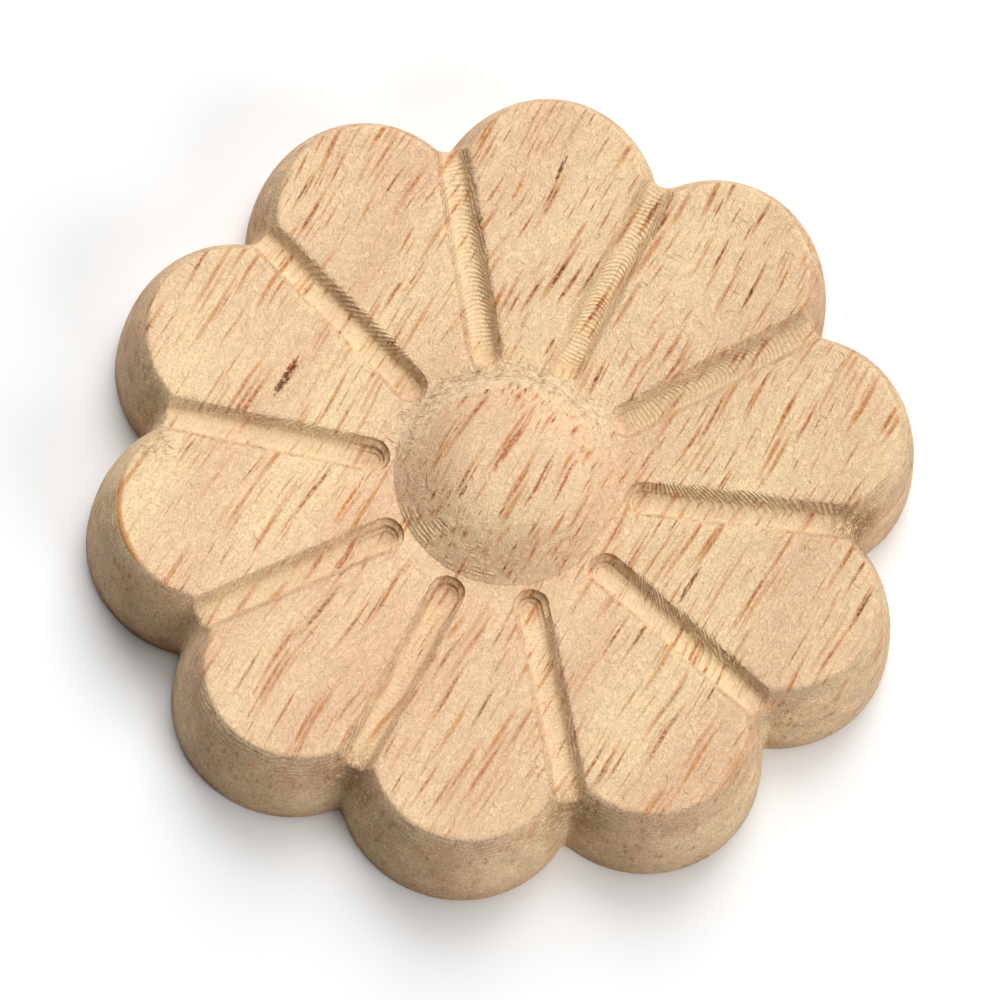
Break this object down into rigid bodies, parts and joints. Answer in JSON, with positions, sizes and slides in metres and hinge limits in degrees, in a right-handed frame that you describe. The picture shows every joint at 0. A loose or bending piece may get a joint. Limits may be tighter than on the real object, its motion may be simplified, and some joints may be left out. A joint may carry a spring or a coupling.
{
  "type": "carved wooden rosette applique",
  "caption": "Flat-backed round wooden rosette with rounded petals, radial grooves between them and a low central dome, to be glued on as an ornament.",
  "frame": {"origin": "middle of the flat back, which is the glued face", "axes": "+Z out of the carved face, +X through the tip of a petal, +Y through a notch between two petals"},
  "size_m": [0.05, 0.0482, 0.0073],
  "materials": {
    "pale_wood": "raw, machined, unvarnished"
  },
  "bodies": {
    "root": {"rosette": "pale_wood"}
  },
  "joints": []
}
